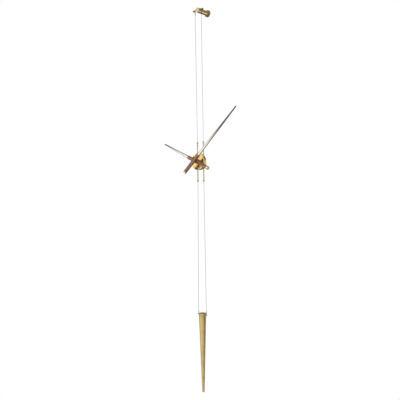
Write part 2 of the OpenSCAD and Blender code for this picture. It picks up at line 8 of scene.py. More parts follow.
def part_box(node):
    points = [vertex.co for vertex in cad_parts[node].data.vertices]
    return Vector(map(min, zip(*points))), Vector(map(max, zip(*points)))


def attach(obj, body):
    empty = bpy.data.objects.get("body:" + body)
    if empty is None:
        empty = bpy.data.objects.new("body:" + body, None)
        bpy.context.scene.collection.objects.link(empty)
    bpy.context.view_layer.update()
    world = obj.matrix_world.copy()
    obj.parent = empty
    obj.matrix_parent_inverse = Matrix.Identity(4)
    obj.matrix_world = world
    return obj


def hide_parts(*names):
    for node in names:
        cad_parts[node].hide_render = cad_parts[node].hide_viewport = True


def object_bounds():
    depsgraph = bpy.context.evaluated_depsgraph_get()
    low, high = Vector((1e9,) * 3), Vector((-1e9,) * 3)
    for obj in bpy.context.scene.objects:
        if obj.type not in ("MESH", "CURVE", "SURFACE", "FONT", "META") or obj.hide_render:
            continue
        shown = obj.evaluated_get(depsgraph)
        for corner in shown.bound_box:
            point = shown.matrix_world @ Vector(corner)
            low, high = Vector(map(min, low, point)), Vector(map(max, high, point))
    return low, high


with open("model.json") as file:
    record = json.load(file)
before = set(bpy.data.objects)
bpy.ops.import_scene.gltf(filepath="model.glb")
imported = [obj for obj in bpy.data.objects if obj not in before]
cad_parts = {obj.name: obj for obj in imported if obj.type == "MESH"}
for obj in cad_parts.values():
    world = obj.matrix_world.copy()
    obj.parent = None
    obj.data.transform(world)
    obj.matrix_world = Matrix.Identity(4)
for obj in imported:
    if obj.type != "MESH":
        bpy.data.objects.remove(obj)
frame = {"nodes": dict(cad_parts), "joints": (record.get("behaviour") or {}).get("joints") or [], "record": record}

# Pendulum wall clock. Metres, +Z up, the wall is the plane y = 0 and the clock stands out to -Y.
mm = 0.001
cadBounds = [list(corner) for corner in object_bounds()]
nodes = frame["nodes"]


def boxOf(node):
    low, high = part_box(node)
    return Vector(low), Vector(high)


def middleOf(node):
    low, high = boxOf(node)
    return (low + high) / 2


def sizeOf(node):
    low, high = boxOf(node)
    return high - low


cameraLook = {
    "azimuth": 42.5,      # degrees round from the front, towards the clock's right
    "lens": 48.6,         # mm on a 36 mm sensor
    "distance": 2.78,
    "eyeHeight": -0.977,  # about half way down the clock
    "sideStep": -0.002,
    "roll": -0.7,         # degrees
}


def makeCamera():
    turn = math.radians(cameraLook["azimuth"])
    away = Vector((math.sin(turn), -math.cos(turn), 0))
    right = Vector((math.cos(turn), math.sin(turn), 0))
    aim = Vector((0, middleOf("crossbar").y, cameraLook["eyeHeight"]))
    lensData = bpy.data.cameras.new("camera")
    lensData.lens = cameraLook["lens"]
    lensData.sensor_width = 36
    lensData.clip_end = 50
    camera = bpy.data.objects.new("camera", lensData)
    bpy.context.collection.objects.link(camera)
    place = Matrix.Translation(aim + away * cameraLook["distance"] + right * cameraLook["sideStep"])
    upright = Matrix.Rotation(turn, 4, "Z") @ Matrix.Rotation(math.radians(90), 4, "X")
    camera.matrix_world = place @ upright @ Matrix.Rotation(math.radians(cameraLook["roll"]), 4, "Z")
    bpy.context.scene.camera = camera


def linearColour(hexColour):
    # sRGB hex to the linear values that the shaders work in
    channels = [int(hexColour[i:i + 2], 16) / 255 for i in (1, 3, 5)]
    return [c / 12.92 if c <= 0.04045 else ((c + 0.055) / 1.055) ** 2.4 for c in channels] + [1]


def addNode(tree, kind, settings=None, links=None):
    # one node: settings go to an input where one has that name or number, else to the node itself
    node = tree.nodes.new(kind)
    for key, value in (settings or {}).items():
        if isinstance(key, int) or key in node.inputs:
            node.inputs[key].default_value = value
        else:
            setattr(node, key, value)
    for key, source in (links or {}).items():
        tree.links.new(source, node.inputs[key])
    return node


studioLight = {
    # how bright the room looks in the metal: behind the clock, and in front of it
    "behind": 0.16, "front": 0.80,
    "turnsFrom": -0.30, "turnsTo": 0.40,
    "endsDarken": 0.70,   # how much darker ceiling and floor are than the walls
    "lobes": [            # soft boxes: where they stand, how tight they are and how bright
        {"from": (0.60, 0.74, -0.10), "tight": 12.0, "gain": 0.60},
        {"from": (-0.68, -0.73, 0.05), "tight": 8.0, "gain": 0.22},
        {"from": (0.30, 0.30, 0.90), "tight": 6.0, "gain": 0.25},
        {"from": (-0.5, 0.85, 0.15), "tight": 8.0, "gain": 0.20},
        # these two stand where the middle line of each needle sees them
        {"from": (-0.09, -0.74, -0.67), "tight": 14.0, "gain": 0.9},
        {"from": (-0.43, -0.74, 0.52), "tight": 14.0, "gain": 0.7},
    ],
}


def makeWorld():
    world = bpy.data.worlds.new("studio")
    bpy.context.scene.world = world
    world.use_nodes = True
    tree = world.node_tree
    tree.nodes.clear()
    direction = addNode(tree, "ShaderNodeTexCoord").outputs["Generated"]
    parts = addNode(tree, "ShaderNodeSeparateXYZ", {}, {0: direction})
    front = addNode(tree, "ShaderNodeMapRange", {
        "interpolation_type": "SMOOTHSTEP", 1: -studioLight["turnsFrom"], 2: -studioLight["turnsTo"],
        3: studioLight["behind"], 4: studioLight["front"]}, {0: parts.outputs[1]})
    height = addNode(tree, "ShaderNodeMath", {"operation": "MULTIPLY"},
                     {0: parts.outputs[2], 1: parts.outputs[2]})
    walls = addNode(tree, "ShaderNodeMath",
                    {"operation": "MULTIPLY_ADD", 1: -studioLight["endsDarken"], 2: 1.0},
                    {0: height.outputs[0]})
    total = addNode(tree, "ShaderNodeMath", {"operation": "MULTIPLY"},
                    {0: front.outputs[0], 1: walls.outputs[0]}).outputs[0]
    for lobe in studioLight["lobes"]:
        towards = Vector(lobe["from"]).normalized()
        facing = addNode(tree, "ShaderNodeVectorMath", {"operation": "DOT_PRODUCT", 1: towards},
                         {0: direction})
        clear = addNode(tree, "ShaderNodeMath", {"operation": "MAXIMUM", 1: 0.0},
                        {0: facing.outputs["Value"]})
        tight = addNode(tree, "ShaderNodeMath", {"operation": "POWER", 1: lobe["tight"]},
                        {0: clear.outputs[0]})
        gain = addNode(tree, "ShaderNodeMath", {"operation": "MULTIPLY_ADD", 1: lobe["gain"]},
                       {0: tight.outputs[0], 2: total})
        total = gain.outputs[0]
    room = addNode(tree, "ShaderNodeBackground", {"Color": (1, 1, 1, 1)}, {"Strength": total})
    paper = addNode(tree, "ShaderNodeBackground", {"Color": (1, 1, 1, 1), "Strength": 1.0})
    seen = addNode(tree, "ShaderNodeLightPath").outputs["Is Camera Ray"]
    mix = addNode(tree, "ShaderNodeMixShader", {}, {0: seen, 1: room.outputs[0], 2: paper.outputs[0]})
    addNode(tree, "ShaderNodeOutputWorld", {}, {"Surface": mix.outputs[0]})
    bpy.context.scene.view_settings.view_transform = "Standard"


softBoxes = {
    "front_box": {"width": 0.9, "height": 1.8, "power": 26,
                  "from": (1.0, -2.9, 0.3), "aim": (0, -0.08, -0.95)},
    "arm_box": {"width": 0.5, "height": 0.5, "power": 1.4,
                "from": (0.44, 0.91, -0.72), "aim": (0, -0.05, 0)},
    "back_box": {"width": 1.8, "height": 1.8, "power": 7,
                 "from": (-0.6, 2.2, 1.2), "aim": (0, -0.08, -0.8)},
}


def makeSoftBox(name, look):
    lampData = bpy.data.lights.new(name, "AREA")
    lampData.shape = "RECTANGLE"
    lampData.size = look["width"]
    lampData.size_y = look["height"]
    lampData.energy = look["power"]
    lamp = bpy.data.objects.new(name, lampData)
    bpy.context.collection.objects.link(lamp)
    start = Vector(look["from"])
    facing = (Vector(look["aim"]) - start).to_track_quat("-Z", "Y")
    lamp.matrix_world = Matrix.Translation(start) @ facing.to_matrix().to_4x4()
    lamp.visible_camera = False


# "glow" lifts the floor to the pale tone of the paper behind it, and lights nothing else
floorLook = {"radius": 0.78, "drop": 0.36, "thickness": 0.02, "forward": 0.08, "colour": "#F4F3F0",
             "rough": 0.9, "glow": 0.42}


def makeFloor():
    low = cadBounds[0][2] - floorLook["drop"]
    outline = [(0, 0), (floorLook["radius"], 0), (floorLook["radius"], floorLook["thickness"]),
               (0, floorLook["thickness"])]
    floor = turnedPiece("floor", outline, Matrix.Translation((0, -floorLook["forward"], low)), steps=128)
    material, tree, shader = newMaterial("mattPaper")
    shader.inputs["Base Color"].default_value = linearColour(floorLook["colour"])
    shader.inputs["Roughness"].default_value = floorLook["rough"]
    shader.inputs["Emission Color"].default_value = (1, 1, 1, 1)
    seen = addNode(tree, "ShaderNodeLightPath").outputs["Is Camera Ray"]
    glow = addNode(tree, "ShaderNodeMath", {"operation": "MULTIPLY", 1: floorLook["glow"]}, {0: seen})
    tree.links.new(glow.outputs[0], shader.inputs["Emission Strength"])
    floor.data.materials.append(material)


def roundedOutline(points, arcSteps=5):
    # points are (radius, height, fillet): each corner with a fillet becomes an arc
    line = []
    for i, (r, z, fillet) in enumerate(points):
        corner = Vector((r, z))
        if fillet == 0 or i in (0, len(points) - 1):
            line.append(corner)
            continue
        before = Vector(points[i - 1][:2]) - corner
        after = Vector(points[i + 1][:2]) - corner
        angle = before.angle(after)
        # a fillet never takes more than half of the side that it lies on
        cut = min(fillet / math.tan(angle / 2), before.length * 0.49, after.length * 0.49)
        radius = cut * math.tan(angle / 2)
        before.normalize()
        after.normalize()
        centre = corner + (before + after).normalized() * (radius / math.sin(angle / 2))
        start = corner + before * cut - centre
        sweep = start.angle_signed(corner + after * cut - centre)
        for step in range(arcSteps + 1):
            turn = -sweep * step / arcSteps
            line.append(centre + Vector((start.x * math.cos(turn) - start.y * math.sin(turn),
                                         start.x * math.sin(turn) + start.y * math.cos(turn))))
    return [(max(p.x, 0), p.y) for p in line]


def meshObject(name, points, faces, place=None):
    mesh = bpy.data.meshes.new(name)
    mesh.from_pydata(points, [], faces)
    mesh.update()
    mesh.shade_smooth()
    piece = bpy.data.objects.new(name, mesh)
    bpy.context.collection.objects.link(piece)
    if place is not None:
        piece.matrix_world = place
    return piece


def turnedPiece(name, outline, place, steps=64):
    # a lathe-turned piece round its own Z; an outline point on the axis closes the end
    # and an outline that ends where it starts makes a ring with a bore
    points, faces, rings = [], [], []
    closed = outline[0] == outline[-1]
    for r, z in outline[:-1] if closed else outline:
        if r < 1e-7:
            rings.append([len(points)])
            points.append((0, 0, z))
            continue
        rings.append(list(range(len(points), len(points) + steps)))
        points += [(r * math.cos(2 * math.pi * k / steps), r * math.sin(2 * math.pi * k / steps), z)
                   for k in range(steps)]
    for low, high in zip(rings, rings[1:] + rings[:1] if closed else rings[1:]):
        for k in range(steps):
            n = (k + 1) % steps
            if len(low) == 1:
                faces.append((low[0], high[n], high[k]))
            elif len(high) == 1:
                faces.append((low[k], low[n], high[0]))
            else:
                faces.append((low[k], low[n], high[n], high[k]))
    piece = meshObject(name, points, faces, place)
    keepFlats(piece)
    return piece


def keepFlats(piece):
    # weighted normals keep the flats flat beside their rounded edges
    weigh = piece.modifiers.new("weighted_normals", "WEIGHTED_NORMAL")
    weigh.keep_sharp = True
    weigh.weight = 60


def boreThrough(piece, place, radius, length, steps=48):
    # cuts a round hole along the local Z of place
    half = length / 2
    cutter = turnedPiece("cutter", [(0, -half), (radius, -half), (radius, half), (0, half)], place, steps)
    cut = piece.modifiers.new("bore", "BOOLEAN")
    cut.operation = "DIFFERENCE"
    cut.solver = "EXACT"
    cut.object = cutter
    for weigh in [m for m in piece.modifiers if m.type == "WEIGHTED_NORMAL"]:
        piece.modifiers.remove(weigh)
    bpy.context.view_layer.update()
    cutPiece = piece.evaluated_get(bpy.context.evaluated_depsgraph_get())
    solid = bpy.data.meshes.new_from_object(cutPiece)
    piece.modifiers.clear()
    solid.set_sharp_from_angle(angle=math.radians(35))
    piece.data = solid
    keepFlats(piece)
    bpy.data.objects.remove(cutter)


def settle(piece):
    # the piece's own coordinates are kept for its material, then its place goes into the mesh
    mesh = piece.data
    own = mesh.attributes.new("ownPlace", "FLOAT_VECTOR", "POINT")
    own.data.foreach_set("vector", [value for vertex in mesh.vertices for value in vertex.co])
    mesh.transform(piece.matrix_world)
    piece.matrix_world = Matrix.Identity(4)


def standIn(piece, body, slot, *replaced):
    # the piece rides on its body and takes the place of the part's own nodes
    settle(piece)
    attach(piece, body)
    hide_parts(*replaced)


# local +Z turned to world -Y, the way the bracket and the case are turned on a lathe
forward = Matrix.Rotation(math.radians(90), 4, "X")
sideways = Matrix.Rotation(math.radians(90), 4, "Y")


def newMaterial(name):
    material = bpy.data.materials.new(name)
    material.use_nodes = True
    tree = material.node_tree
    return material, tree, tree.nodes["Principled BSDF"]


def whereOn(tree, ownPiece):
    # pieces made here carry their own coordinates; the part's own nodes use the frame's
    if ownPiece:
        return addNode(tree, "ShaderNodeAttribute", {"attribute_name": "ownPlace"}).outputs["Vector"]
    return addNode(tree, "ShaderNodeTexCoord").outputs["Object"]


# Every metal here is a clean mirror made soft by fine lines, with a little duller colour in clouds.
# lines: "rings" for lathe turning across the axis, "along" for drawing or polishing along it.
def metal(name, look, ownPiece):
    material, tree, shader = newMaterial(name)
    where = whereOn(tree, ownPiece)
    parts = addNode(tree, "ShaderNodeSeparateXYZ", {}, {0: where})
    x, y, z = parts.outputs
    if look["lines"] == "rings" or not ownPiece:
        across = addNode(tree, "ShaderNodeMath", {"operation": "MULTIPLY", 1: 1 / look["lineGap"]}, {0: z})
    else:
        aroundAxis = addNode(tree, "ShaderNodeMath", {"operation": "ARCTAN2"}, {0: x, 1: y})
        across = addNode(tree, "ShaderNodeMath",
                         {"operation": "MULTIPLY", 1: look["radius"] / look["lineGap"]},
                         {0: aroundAxis.outputs[0]})
    lines = addNode(tree, "ShaderNodeTexNoise", {"noise_dimensions": "1D", "Scale": 1.0, "Detail": 3.0,
                                                 "Roughness": 0.7}, {"W": across.outputs[0]})
    dull = addNode(tree, "ShaderNodeTexNoise",
                   {"Scale": 1 / look["cloud"], "Detail": 4.0, "Roughness": 0.6}, {"Vector": where})
    cloud = addNode(tree, "ShaderNodeMapRange", {1: 0.35, 2: 0.7, 3: 0.0, 4: 1.0}, {0: dull.outputs[0]})
    colour = addNode(tree, "ShaderNodeMix", {"data_type": "RGBA", 6: linearColour(look["bright"]),
                                             7: linearColour(look["dull"])}, {0: cloud.outputs[0]})
    streak = addNode(tree, "ShaderNodeMapRange",
                     {1: 0.3, 2: 0.7, 3: 1 - look["streak"], 4: 1 + look["streak"] / 2},
                     {0: lines.outputs[0]})
    tint = colour.outputs[2]
    # a second tone mixed in towards one end along z: on the needle it is painted shade at the tip, on the ropes
    # and sleeves their browned top
    if "tintAndShade" in look:
        reach = addNode(tree, "ShaderNodeMapRange", {1: look["tintAndShadeFrom"], 2: look["tintAndShadeTo"]}, {0: z})
        tint = addNode(tree, "ShaderNodeMix", {"data_type": "RGBA", 7: linearColour(look["tintAndShade"])},
                       {0: reach.outputs[0], 6: tint}).outputs[2]
    shade = addNode(tree, "ShaderNodeVectorMath", {"operation": "SCALE"},
                    {0: tint, "Scale": streak.outputs[0]})
    tree.links.new(shade.outputs[0], shader.inputs["Base Color"])
    rough = addNode(tree, "ShaderNodeMapRange",
                    {1: 0.3, 2: 0.7, 3: look["rough"] - look["roughSpread"],
                     4: look["rough"] + look["roughSpread"]}, {0: lines.outputs[0]})
    tree.links.new(rough.outputs[0], shader.inputs["Roughness"])
    shader.inputs["Metallic"].default_value = 1.0
    bump = addNode(tree, "ShaderNodeBump", {"Strength": look["bump"], "Distance": look["lineGap"] * 0.3},
                   {"Height": lines.outputs[0]})
    tree.links.new(bump.outputs[0], shader.inputs["Normal"])
    return material


metalLooks = {
    # satin turned brass of the weight: soft rings of the lathe, drawn coarser than the real 0.2 mm
    "turnedBrass": {"lines": "rings", "lineGap": 1.2 * mm, "bright": "#E2C687", "dull": "#C8AC6E",
                    "cloud": 0.06, "streak": 0.05, "rough": 0.32, "roughSpread": 0.05, "bump": 0.12},
    # the wall arm is the same satin brass drawn browner and more orange: painted light and shade matching how the
    # arm looked in the studio light
    "armPaintedLightBrass": {"lines": "rings", "lineGap": 0.6 * mm, "bright": "#E2BC80", "dull": "#BC9660",
                  "cloud": 0.02, "streak": 0.06, "rough": 0.30, "roughSpread": 0.05, "bump": 0.10},
    # the swivelling head is the same brass drawn olive: painted shade, the reflection of the dark room put into
    # its colour
    "olivePaintedShadeBrass": {"lines": "rings", "lineGap": 0.6 * mm, "bright": "#D6C294", "dull": "#B6A274",
                   "cloud": 0.02, "streak": 0.06, "rough": 0.30, "roughSpread": 0.05, "bump": 0.10},
    # the crossbar and the wall rosette are the same brass drawn darkest, a brown tone that is painted shade
    "darkPaintedShadeBrass": {"lines": "rings", "lineGap": 0.6 * mm, "bright": "#A39378", "dull": "#776850",
                     "cloud": 0.015, "streak": 0.06, "rough": 0.34, "roughSpread": 0.05, "bump": 0.10},
    # polished case: nearly no lines, only a trace of the wheel
    "polishedBrass": {"lines": "rings", "lineGap": 1.2 * mm, "bright": "#F6D592", "dull": "#E8C478",
                      "cloud": 0.03, "streak": 0.02, "rough": 0.24, "roughSpread": 0.02, "bump": 0.02},
    # drawn tube: fine lines along its length, a greyer brass
    "drawnBrass": {"lines": "along", "lineGap": 0.4 * mm, "radius": 3 * mm, "bright": "#C6BA9C",
                   "dull": "#A0957A", "cloud": 0.02, "streak": 0.06, "rough": 0.28, "roughSpread": 0.05,
                   "bump": 0.10},
    # lacquered pale brass of the tail caps, the brightest metal on the clock
    "paleBrass": {"lines": "rings", "lineGap": 0.5 * mm, "bright": "#FFF0CC", "dull": "#F0DEB0",
                  "cloud": 0.01, "streak": 0.04, "rough": 0.2, "roughSpread": 0.03, "bump": 0.05},
    # nickel-plated needle, polished along its length; towards the tip its colour turns a brownish grey, painted
    # shade where the reflected highlight fades out
    "polishedNickel": {"lines": "along", "lineGap": 0.8 * mm, "radius": 5 * mm, "bright": "#F2EDE6",
                       "dull": "#E2DBD2", "tintAndShade": "#7A6C5B", "tintAndShadeFrom": 0.12, "tintAndShadeTo": 0.24,
                       "cloud": 0.05, "streak": 0.05, "rough": 0.12, "roughSpread": 0.03, "bump": 0.03},
    # steel rope wires: a soft grey, browned where the loops hang on the crossbar
    "ropeSteel": {"lines": "rings", "lineGap": 1.5 * mm, "bright": "#9A9A98", "dull": "#7C7C7A",
                  "tintAndShade": "#6E6244", "tintAndShadeFrom": -0.045, "tintAndShadeTo": -0.025,
                  "cloud": 0.02, "streak": 0.03, "rough": 0.35, "roughSpread": 0.04, "bump": 0.03},
    # pressed sleeves: a soft grey metal, browned like the loops at the top
    "pressedAluminium": {"lines": "rings", "lineGap": 0.5 * mm, "bright": "#C6C4BA", "dull": "#A9A79C",
                         "tintAndShade": "#6E6244", "tintAndShadeFrom": -0.06, "tintAndShadeTo": -0.03,
                         "cloud": 0.01, "streak": 0.04, "rough": 0.38, "roughSpread": 0.05,
                         "bump": 0.08},
    # oiled dark screws: small dark dots on the brass
    "darkSteel": {"lines": "rings", "lineGap": 0.3 * mm, "bright": "#6B6763", "dull": "#4A4743",
                  "cloud": 0.01, "streak": 0.05, "rough": 0.35, "roughSpread": 0.05, "bump": 0.06},
    # ground steel of the cross pin and the arbors: a cold bright line
    "brightSteel": {"lines": "rings", "lineGap": 0.3 * mm, "bright": "#C8C8C8", "dull": "#AFAFAF",
                    "cloud": 0.01, "streak": 0.04, "rough": 0.25, "roughSpread": 0.05, "bump": 0.04},
    # the coil: one fine wire beside the next, drawn coarser than the real 0.05 mm
    "copperWire": {"lines": "rings", "lineGap": 0.3 * mm, "bright": "#B8683A", "dull": "#8F4A24",
                   "cloud": 0.004, "streak": 0.15, "rough": 0.35, "roughSpread": 0.08, "bump": 0.3},
}

walnutLook = {
    "light": "#B58465", "mid": "#8A5D45", "dark": "#5C3A2A", "pores": "#3E271D",
    "band": 11.1 * mm,     # distance between dark bands, two or three growth rings drawn as one
    "bandAlong": 0.08,     # how far a band is drawn out along the stock
    "wander": 0.009,       # how far the bands stray from straight
    "wanderScale": 90.0,
    "fibre": 1.1 * mm,     # width of the fine streaks between them
    "fibreAlong": 0.03,
    "fibreShare": 0.6,     # fibres against bands in the figure
    "pore": 0.6 * mm,      # width of the open pores, drawn twice the real width
    "poreDepth": 0.1 * mm,
    "rough": 0.42, "poreRough": 0.7, "coat": 0.12, "coatRough": 0.25, "ior": 1.5,
}


# American walnut, oiled: straight brown figure along the stock, dark open pores, a soft sheen
def walnut():
    look = walnutLook
    material, tree, shader = newMaterial("oiledWalnut")
    where = whereOn(tree, True)
    stretched = addNode(tree, "ShaderNodeMapping", {"Scale": (1, 1, look["bandAlong"])}, {0: where})
    wander = addNode(tree, "ShaderNodeTexNoise", {"Scale": look["wanderScale"], "Detail": 3.0},
                     {"Vector": stretched.outputs[0]})
    bent = addNode(tree, "ShaderNodeVectorMath",
                   {"operation": "MULTIPLY_ADD", 1: (look["wander"], look["wander"], 0)},
                   {0: wander.outputs["Color"], 2: stretched.outputs[0]})
    # the wave repeats every 2 pi / 10 of x + y, which is 1 / sqrt(2) of that across the diagonal
    waveScale = 2 * math.pi / (10 * math.sqrt(2) * look["band"])
    bands = addNode(tree, "ShaderNodeTexWave",
                    {"wave_type": "BANDS", "bands_direction": "DIAGONAL", "Scale": waveScale,
                     "Distortion": 3.5, "Detail": 4.0, "Detail Scale": 1.6}, {"Vector": bent.outputs[0]})
    drawn = addNode(tree, "ShaderNodeMapping", {"Scale": (1, 1, look["fibreAlong"])}, {0: where})
    fibres = addNode(tree, "ShaderNodeTexNoise",
                     {"Scale": 1 / look["fibre"], "Detail": 4.0, "Roughness": 0.65},
                     {"Vector": drawn.outputs[0]})
    both = addNode(tree, "ShaderNodeMix", {0: look["fibreShare"]},
                   {2: bands.outputs["Fac"], 3: fibres.outputs[0]})
    figure = addNode(tree, "ShaderNodeValToRGB", {}, {0: both.outputs[0]})
    ramp = figure.color_ramp
    ramp.elements[0].position = 0.22
    ramp.elements[0].color = linearColour(look["dark"])
    ramp.elements[1].position = 0.78
    ramp.elements[1].color = linearColour(look["light"])
    middle = ramp.elements.new(0.48)
    middle.color = linearColour(look["mid"])
    pores = addNode(tree, "ShaderNodeTexNoise", {"Scale": 1 / look["pore"], "Detail": 2.0},
                    {"Vector": drawn.outputs[0]})
    inPore = addNode(tree, "ShaderNodeMapRange", {1: 0.58, 2: 0.68, 3: 0.0, 4: 0.7}, {0: pores.outputs[0]})
    colour = addNode(tree, "ShaderNodeMix", {"data_type": "RGBA", 7: linearColour(look["pores"])},
                     {0: inPore.outputs[0], 6: figure.outputs[0]})
    tree.links.new(colour.outputs[2], shader.inputs["Base Color"])
    rough = addNode(tree, "ShaderNodeMapRange", {1: 0.0, 2: 1.0, 3: look["rough"], 4: look["poreRough"]},
                    {0: inPore.outputs[0]})
    tree.links.new(rough.outputs[0], shader.inputs["Roughness"])
    bump = addNode(tree, "ShaderNodeBump",
                   {"Strength": 0.3, "Distance": look["poreDepth"], "invert": True},
                   {"Height": inPore.outputs[0]})
    tree.links.new(bump.outputs[0], shader.inputs["Normal"])
    shader.inputs["IOR"].default_value = look["ior"]
    shader.inputs["Coat Weight"].default_value = look["coat"]
    shader.inputs["Coat Roughness"].default_value = look["coatRough"]
    return material


# Moulded plastics and rubber: fine spark texture, slightly cloudy colour
def moulded(name, look):
    material, tree, shader = newMaterial(name)
    where = whereOn(tree, False)
    grain = addNode(tree, "ShaderNodeTexNoise", {"Scale": 1 / look["grain"], "Detail": 3.0},
                    {"Vector": where})
    colour = addNode(tree, "ShaderNodeMix", {"data_type": "RGBA", 6: linearColour(look["colour"]),
                                             7: linearColour(look["shade"])}, {0: grain.outputs[0]})
    tree.links.new(colour.outputs[2], shader.inputs["Base Color"])
    rough = addNode(tree, "ShaderNodeMapRange", {3: look["rough"] - 0.06, 4: look["rough"] + 0.06},
                    {0: grain.outputs[0]})
    tree.links.new(rough.outputs[0], shader.inputs["Roughness"])
    bump = addNode(tree, "ShaderNodeBump", {"Strength": look["bump"], "Distance": look["grain"] * 0.4},
                   {"Height": grain.outputs[0]})
    tree.links.new(bump.outputs[0], shader.inputs["Normal"])
    shader.inputs["IOR"].default_value = look["ior"]
    return material


mouldedLooks = {
    # the movement's housing and the knob: a dull black with a spark-eroded grain
    "blackABS": {"colour": "#1B1B1C", "shade": "#262627", "grain": 0.3 * mm, "rough": 0.5,
                 "bump": 0.15, "ior": 1.5},
    # acetal wheels: milky white and a little waxy
    "acetal": {"colour": "#E6E2D6", "shade": "#D8D2C2", "grain": 0.5 * mm, "rough": 0.35,
               "bump": 0.05, "ior": 1.48},
    # the washer under the nut: flat black, no shine
    "nitrileRubber": {"colour": "#151515", "shade": "#202020", "grain": 0.2 * mm, "rough": 0.8,
                      "bump": 0.2, "ior": 1.5},
    # the circuit board's green lacquer
    "solderMask": {"colour": "#0F4A26", "shade": "#0B3A1D", "grain": 0.6 * mm, "rough": 0.3,
                   "bump": 0.05, "ior": 1.5},
    # a plain copper-coloured sleeve on the dry cell
    "cellWrap": {"colour": "#B4661E", "shade": "#A2581A", "grain": 0.8 * mm, "rough": 0.3,
                 "bump": 0.03, "ior": 1.5},
    # blackened bushes of the hands: a dark oxide that hides the metal
    "blackenedSteel": {"colour": "#121110", "shade": "#1E1B19", "grain": 0.3 * mm, "rough": 0.35,
                       "bump": 0.08, "ior": 1.5},
}

materials = {name: metal(name, look, True) for name, look in metalLooks.items()}
nodeMaterials = {name: metal(name + "OnNode", look, False) for name, look in metalLooks.items()}
materials.update({name: moulded(name, look) for name, look in mouldedLooks.items()})
materials["oiledWalnut"] = walnut()
print("materials made:", len(materials))

# which finish each of the record's material slots gets
slotFinish = {
    "satin_brass": "armPaintedLightBrass", "polished_brass": "polishedBrass", "tube_brass": "drawnBrass",
    "cap_metal": "paleBrass", "needle_metal": "polishedNickel", "walnut": "oiledWalnut",
    "steel_cord": "ropeSteel", "crimp_metal": "pressedAluminium", "screw_steel": "darkSteel",
    "bright_steel": "brightSteel", "black_steel": "blackenedSteel", "black_plastic": "blackABS",
    "gear_plastic": "acetal", "copper_wire": "copperWire", "board_green": "solderMask",
    "cell_wrap": "cellWrap", "black_rubber": "nitrileRubber",
}


def paint(piece, finish, ownPiece=True):
    chosen = materials[finish] if ownPiece else nodeMaterials.get(finish, materials[finish])
    piece.data.materials.clear()
    piece.data.materials.append(chosen)


makeCamera()
makeWorld()
for lampName, lampLook in softBoxes.items():
    makeSoftBox(lampName, lampLook)
makeFloor()
print("camera, light and floor set")

ropeLook = {
    "diameter": 1.8 * mm,
    "strands": 6,
    "layLength": 15 * mm,  # one full turn of a strand
    "ringGap": 1.1 * mm,
    "topSpacing": 43 * mm,
    "caseSpacing": 41 * mm,
    "weightSpacing": 54 * mm,
    "barGroove": 0.7 * mm,  # depth of the groove that the loop lies in
    "pinGroove": 0.5 * mm,
    "loopClear": 0.05 * mm,
    "ferruleStart": 6 * mm,
    "tailOut": 2 * mm,
}
ferruleLook = {
    "length": 9 * mm, "sideWall": 0.3 * mm, "frontWall": 0.4 * mm,
    "waists": 3, "pressed": 0.16,  # pressed waists, and how much narrower each is
    "endRound": 0.05,              # share of the length that is rounded at each end
    "endShrink": 0.1,
    "square": 0.8,                 # 1 is a true oval, less is squarer
}


def smoothPath(points, gap):
    # Catmull-Rom through the points, then evenly spaced
    dense = []
    ends = [points[0] * 2 - points[1], *points, points[-1] * 2 - points[-2]]
    for i in range(1, len(ends) - 2):
        a, b, c, d = ends[i - 1:i + 3]
        steps = max(2, int((c - b).length / (gap * 0.4)))
        for k in range(steps):
            t = k / steps
            dense.append(0.5 * ((2 * b) + (c - a) * t + (2 * a - 5 * b + 4 * c - d) * t * t
                                + (3 * b - a - 3 * c + d) * t ** 3))
    dense.append(points[-1])
    even, left = [dense[0]], gap
    for a, b in zip(dense, dense[1:]):
        step = (b - a).length
        while step >= left and step > 0:
            a = a + (b - a) * (left / step)
            even.append(a)
            step = (b - a).length
            left = gap
        left -= step
    even.append(dense[-1])
    return even


def ropeSection():
    # outline of six round strands laid round a core: one point in the valley and two on each strand
    ring, radius = [], ropeLook["diameter"] / 2
    apart = 360 / ropeLook["strands"]
    for strand in range(ropeLook["strands"]):
        for offset, reach in ((-30, 0.637), (-13, 0.967), (13, 0.967)):
            ring.append((math.radians(apart * strand + offset), radius * reach))
    return ring


def ropePiece(name, path):
    section = ropeSection()
    count = len(section)
    points, faces = [], []
    travelled = 0
    side = Vector((1, 0, 0))
    for i, p in enumerate(path):
        ahead = (path[min(i + 1, len(path) - 1)] - path[max(i - 1, 0)]).normalized()
        side = (side - ahead * side.dot(ahead)).normalized()
        other = ahead.cross(side)
        if i:
            travelled += (p - path[i - 1]).length
        turn = 2 * math.pi * travelled / ropeLook["layLength"]
        points += [p + (side * math.cos(a + turn) + other * math.sin(a + turn)) * r for a, r in section]
        if i:
            base = (i - 1) * count
            for k in range(count):
                n = (k + 1) % count
                faces.append((base + k, base + n, base + count + n, base + count + k))
    faces.append(tuple(range(count - 1, -1, -1)))
    faces.append(tuple(range(len(points) - count, len(points))))
    return meshObject(name, points, faces)


def loopPoints(centre, down, out, radius, ferruleStart):
    # a crimped loop: dead end, round the far side of the bar and back into the standing rope;
    # the points between the sleeve and the bar lead it smoothly from one to the other
    width = ropeLook["diameter"]
    ferruleLength = ferruleLook["length"]
    line = [centre + down * (ferruleStart + ferruleLength + ropeLook["tailOut"]) + out * width,
            centre + down * (ferruleStart + 0.5 * ferruleLength) + out * width,
            centre + down * ferruleStart + out * width * 0.98,
            centre + down * radius * 0.72 + out * radius * 0.84]
    for step in range(-1, 8):
        angle = math.radians(30 * step)
        line.append(centre + out * radius * math.cos(angle) - down * radius * math.sin(angle))
    line += [centre + down * radius * 0.95 - out * radius * 0.62,
             centre + down * ferruleStart - out * width * 0.02,
             centre + down * (ferruleStart + 0.5 * ferruleLength)]
    return line


barMiddle, pinMiddle = middleOf("crossbar"), middleOf("weight_pin")
tubesLow, tubesHigh = boxOf("guide_tubes")
tubeMiddleY = (tubesLow.y + tubesHigh.y) / 2
collarTop = boxOf("upper_collars")[1].z
collarBottom = boxOf("lower_collars")[0].z


